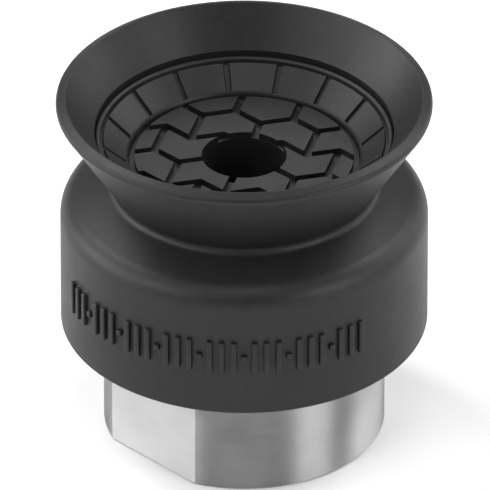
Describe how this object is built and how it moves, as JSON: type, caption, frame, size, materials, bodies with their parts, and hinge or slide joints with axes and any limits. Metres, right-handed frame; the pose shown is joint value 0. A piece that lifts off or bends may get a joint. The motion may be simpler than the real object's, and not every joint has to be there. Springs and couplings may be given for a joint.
{
  "type": "vacuum suction cup",
  "caption": "Round elastomer suction cup with a flared lip, treaded floor and slotted inner wall, moulded on a threaded aluminium hub with spanner flats.",
  "frame": {"origin": "centre of the hub's end face, which is the lowest plane of the part", "axes": "+Z along the cup's axis, out of the bell's mouth; the hub's two spanner flats face +Y and -Y"},
  "size_m": [0.0206, 0.0206, 0.0205],
  "materials": {
    "hub_aluminium": "satin turned aluminium",
    "elastomer": "dark grey moulded nitrile rubber, satin"
  },
  "bodies": {
    "cup_base": {"threaded_hub": "hub_aluminium", "anchor_rib": "elastomer", "hub_sleeve": "elastomer", "body_shoulder": "elastomer", "cup_floor": "elastomer", "grip_pads": "elastomer", "slotted_wall": "elastomer", "inner_bead": "elastomer", "bell_skirt": "elastomer", "index_marks": "elastomer"},
    "lip": {"sealing_lip": "elastomer"}
  },
  "joints": [
    {"name": "lip_compression", "type": "slide", "parent": "cup_base", "child": "lip", "axis": [0, 0, 1], "range_m": [-0.002, 0], "stiffness_N_per_m": 2500, "deforming": ["bell_skirt"]}
  ]
}
